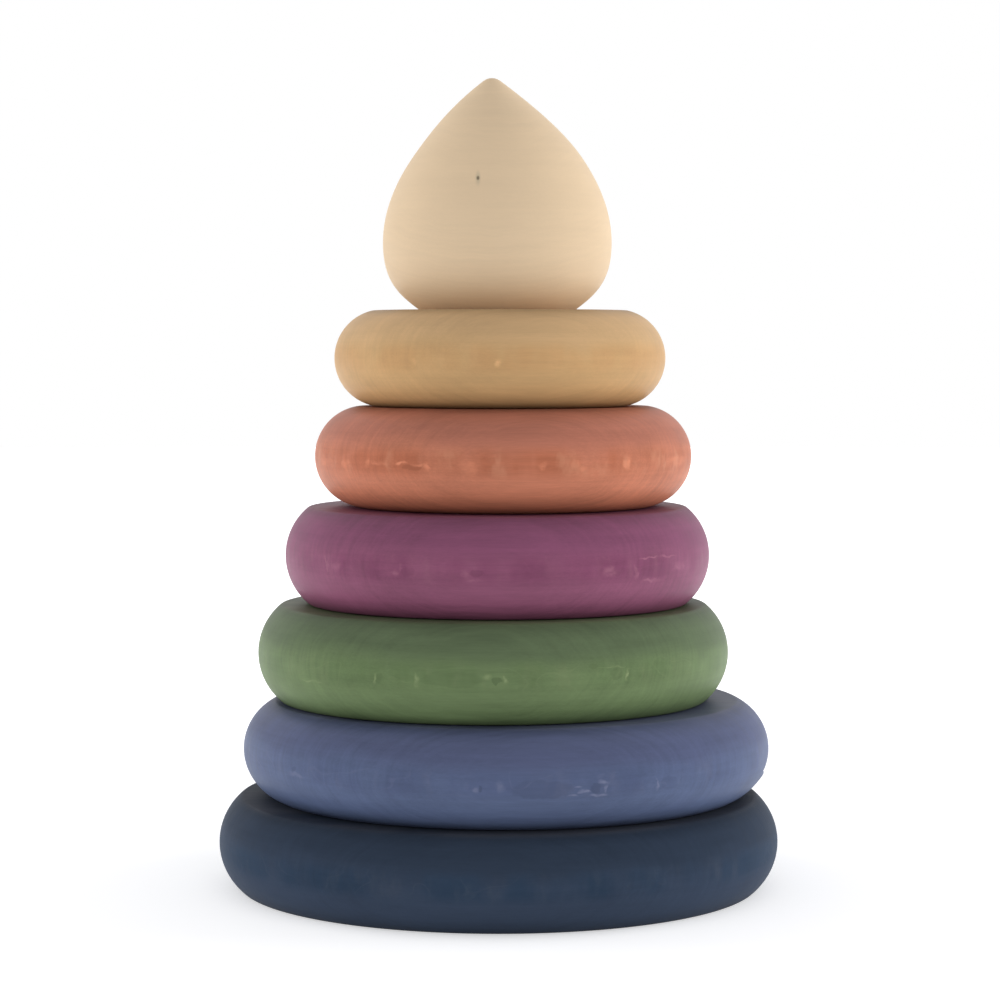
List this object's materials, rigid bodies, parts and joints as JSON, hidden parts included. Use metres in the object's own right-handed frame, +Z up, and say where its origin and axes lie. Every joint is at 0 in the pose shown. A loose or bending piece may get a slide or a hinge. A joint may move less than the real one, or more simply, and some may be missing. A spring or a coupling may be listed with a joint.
{
  "type": "stacking ring toy",
  "caption": "Wooden stacking tower: a round base with a fixed dowel, loose rings with rounded rims that shrink upwards, and a pointed top that drops over the dowel's end.",
  "frame": {"origin": "centre of the base ring's underside, on the surface that the toy stands on", "axes": "+Z up along the dowel, +X to the right of the front view, +Y away from the viewer"},
  "size_m": [0.115, 0.115, 0.1655],
  "materials": {
    "navy_stain": "water-based stain on sanded wood, satin",
    "blue_stain": "water-based stain on sanded wood, satin",
    "green_stain": "water-based stain on sanded wood, satin",
    "plum_stain": "water-based stain on sanded wood, satin",
    "coral_stain": "water-based stain on sanded wood, satin",
    "yellow_stain": "water-based stain on sanded wood, satin",
    "bare_wood": "sanded bare wood with a thin oil, satin"
  },
  "bodies": {
    "base": {"base_ring": "navy_stain", "dowel": "bare_wood"},
    "blue_ring": {"blue_ring": "blue_stain"},
    "green_ring": {"green_ring": "green_stain"},
    "plum_ring": {"plum_ring": "plum_stain"},
    "coral_ring": {"coral_ring": "coral_stain"},
    "yellow_ring": {"yellow_ring": "yellow_stain"},
    "pointed_top": {"pointed_top": "bare_wood"}
  },
  "joints": [
    {"name": "lift_blue_ring", "type": "slide", "parent": "base", "child": "blue_ring", "axis": [0, 0, 1], "range_m": [0, 0.1314]},
    {"name": "lift_green_ring", "type": "slide", "parent": "blue_ring", "child": "green_ring", "axis": [0, 0, 1], "range_m": [0, 0.1119]},
    {"name": "lift_plum_ring", "type": "slide", "parent": "green_ring", "child": "plum_ring", "axis": [0, 0, 1], "range_m": [0, 0.0921]},
    {"name": "lift_coral_ring", "type": "slide", "parent": "plum_ring", "child": "coral_ring", "axis": [0, 0, 1], "range_m": [0, 0.0721]},
    {"name": "lift_yellow_ring", "type": "slide", "parent": "coral_ring", "child": "yellow_ring", "axis": [0, 0, 1], "range_m": [0, 0.0516]},
    {"name": "lift_pointed_top", "type": "slide", "parent": "yellow_ring", "child": "pointed_top", "axis": [0, 0, 1], "range_m": [0, 0.032]}
  ]
}
